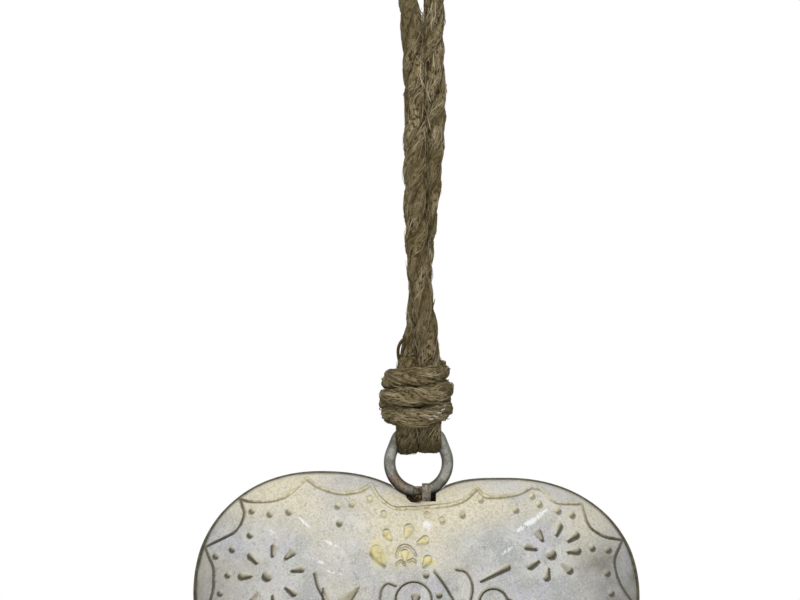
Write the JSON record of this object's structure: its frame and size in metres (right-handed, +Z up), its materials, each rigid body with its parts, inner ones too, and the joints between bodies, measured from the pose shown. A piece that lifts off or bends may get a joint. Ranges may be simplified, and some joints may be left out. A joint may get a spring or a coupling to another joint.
{
  "type": "hanging iron heart ornament",
  "caption": "Hollow embossed sheet-iron heart that hangs from a wire ring and a knotted jute rope loop.",
  "frame": {"origin": "underside of the top of the rope loop, where a hook bears", "axes": "+Z up along the rope, front of the heart facing -Y, +X to the right seen from the front"},
  "size_m": [0.1254, 0.0384, 0.3099],
  "materials": {
    "whitewashed_iron": "whitewash rubbed back, with gold on the ridges",
    "dark_seam": "dark, dull",
    "bare_iron": "dull, rusty",
    "galvanised_wire": "dull galvanised with rust",
    "jute": "twisted natural jute"
  },
  "bodies": {
    "rope": {"rope_loop": "jute"},
    "knot": {"hitch_left": "jute", "hitch_right": "jute", "rope_wrap": "jute"},
    "ring": {"ring": "galvanised_wire"},
    "heart": {"hanger_strap": "bare_iron", "front_shell": "whitewashed_iron", "back_shell": "whitewashed_iron", "rim_seam": "dark_seam"}
  },
  "joints": [
    {"name": "rope_twist", "type": "hinge", "parent": "rope", "child": "knot", "pos_m": [0, 0, -0.16], "axis": [0, 0, 1], "range_deg": [-90, 90], "stiffness_Nm_per_rad": 0.001},
    {"name": "ring_swing", "type": "hinge", "parent": "knot", "child": "ring", "pos_m": [0, 0, -0.18122], "axis": [1, 0, 0], "range_deg": [-45, 45]},
    {"name": "heart_tilt", "type": "hinge", "parent": "ring", "child": "heart", "pos_m": [0, 0, -0.19722], "axis": [1, 0, 0], "range_deg": [-30, 30]}
  ]
}
